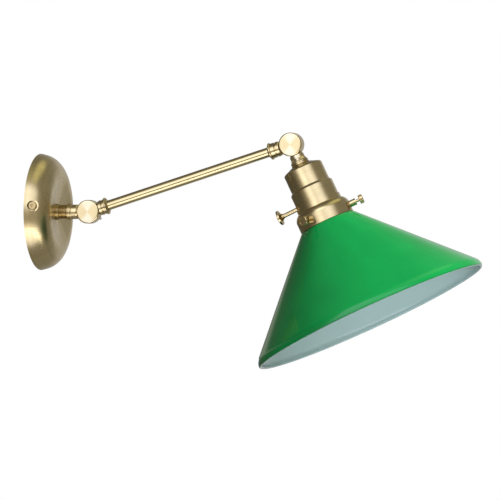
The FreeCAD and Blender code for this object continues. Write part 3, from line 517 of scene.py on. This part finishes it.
def soft_box(name, around, up, power):
    """A square soft light placed round the lamp by two angles in degrees. The glass is lit by it,
    and nothing mirrors it."""
    light = bpy.data.lights.new(name, "AREA")
    light.shape = "RECTANGLE"
    light.size = BOX_SIDE
    light.size_y = BOX_SIDE
    light.energy = power
    lamp = bpy.data.objects.new(name, light)
    bpy.context.scene.collection.objects.link(lamp)
    turn, rise = math.radians(around), math.radians(up)
    out = Vector((math.sin(turn) * math.cos(rise), -math.cos(turn) * math.cos(rise), math.sin(rise)))
    lamp.location = STUDIO_MIDDLE + out * BOX_DISTANCE
    lamp.rotation_euler = (-out).to_track_quat("-Z", "Y").to_euler()
    lamp.visible_glossy = False


WHITE = (1.0, 1.0, 1.0, 1.0)
ROOM = (0.33, 0.325, 0.30, 1.0)
ROOM_LEFT = (0.13, 0.125, 0.11, 1.0)
CEILING = (0.20, 0.20, 0.19, 1.0)
CEILING_GLOW = (0.95, 0.95, 0.60, 1.0)
ROOM_FRONT = (0.50, 0.46, 0.41, 1.0)
WALL_GLOW = (0.48, 0.48, 0.40, 1.0)
PALE_WALL = (0.64, 0.64, 0.66, 1.0)
UPPER_LIGHT_LEFT = (2.5, 2.6, 3.1, 1.0)
UPPER_LIGHT_RIGHT = (1.95, 2.05, 2.55, 1.0)
LOWER_LIGHT = (2.2, 2.25, 2.7, 1.0)
LOWER_LIGHT_CORE = (7.0, 7.0, 7.0, 1.0)


def set_world():
    """White to the camera. To the lamp it is a dim room with a long light above the camera, one
    below it with a bright core, a pale wall across from the camera and a soft glow overhead."""
    world = bpy.data.worlds.new("studio")
    world.use_nodes = True
    bpy.context.scene.world = world
    room = Graph(world.node_tree)
    way = room.add("ShaderNodeTexCoord")
    x, y, z = (room.dot(way, axis) for axis in (WALL_WAY, PIN_WAY, UP_WAY))
    rise = z.math("ARCTAN2", y * -1.0) * math.degrees(1.0)
    upper = ((z + x.ramp(0.25, -0.10) * 0.22).ramp(0.10, 0.27) * rise.ramp(60.0, 46.0)
             * x.ramp(-0.58, -0.36) * x.ramp(0.92, 0.52))
    lower = z.ramp(-0.40, -0.54) * rise.ramp(-74.0, -60.0) * x.ramp(-0.46, -0.20) * x.ramp(0.96, 0.70)
    core = z.band(-0.66, -0.58, 0.03) * x.band(-0.10, 0.80, 0.08) * y.ramp(0.0, -0.1)
    wall = y.ramp(0.74, 0.96) * x.ramp(-0.45, 0.0) * z.band(-0.45, 0.45, 0.2)
    left = x.ramp(-0.05, -0.50) * z.ramp(0.97, 0.55) * z.ramp(-0.85, -0.55)
    glow = x.ramp(-0.30, -0.65) * z.band(0.00, 0.15, 0.05)
    front = y.ramp(-0.1, -0.7) * x.ramp(-0.85, -0.35)
    overhead = x.band(0.10, 0.55, 0.15) * z.ramp(0.70, 0.85)
    felt = room.blend(left, ROOM, ROOM_LEFT)
    upper_light = room.blend(x.ramp(-0.05, 0.15), UPPER_LIGHT_LEFT, UPPER_LIGHT_RIGHT)
    for mask, colour in ((z.ramp(0.55, 0.90), CEILING), (overhead, CEILING_GLOW), (front, ROOM_FRONT),
                         (glow, WALL_GLOW), (wall, PALE_WALL), (upper, upper_light),
                         (lower, LOWER_LIGHT), (core, LOWER_LIGHT_CORE)):
        felt = room.blend(mask, felt, colour)
    to_camera = room.add("ShaderNodeLightPath")
    shown = room.add("ShaderNodeMixShader", None, {
        0: to_camera,
        1: room.add("ShaderNodeBackground", None, {"Color": felt}),
        2: room.add("ShaderNodeBackground", None, {"Color": WHITE}),
    })
    room.feed(world.node_tree.nodes["World Output"].inputs["Surface"], shown)


FLOOR_HALF = 6.0
FLOOR_HEIGHT = -0.75
FLOOR_PALE = (0.90, 0.90, 0.90, 1.0)
FLOOR_PALER = (0.93, 0.93, 0.93, 1.0)


def floor():
    """A plain pale floor, well below the lamp, that throws neither light nor a reflection on it."""
    mesh = bpy.data.meshes.new("studio_floor")
    corners = ((-1, -1), (1, -1), (1, 1), (-1, 1))
    mesh.from_pydata([(x * FLOOR_HALF, y * FLOOR_HALF, FLOOR_HEIGHT) for x, y in corners], [],
                     [(0, 1, 2, 3)])
    ground = bpy.data.objects.new("studio_floor", mesh)
    bpy.context.scene.collection.objects.link(ground)
    finish = Finish("studio_white")
    grain = finish.noise(finish.place(), 3.0, 2.0)
    finish.set(Base_Color=finish.blend(grain, FLOOR_PALE, FLOOR_PALER), Roughness=0.9)
    mesh.materials.append(finish.material)
    ground.visible_glossy = False
    ground.visible_diffuse = False


set_world()
floor()
soft_box("key", 66, 40, 118)
soft_box("fill", 15, -12, 8)

scene = bpy.context.scene
scene.view_settings.view_transform = "Standard"
scene.view_settings.look = "None"
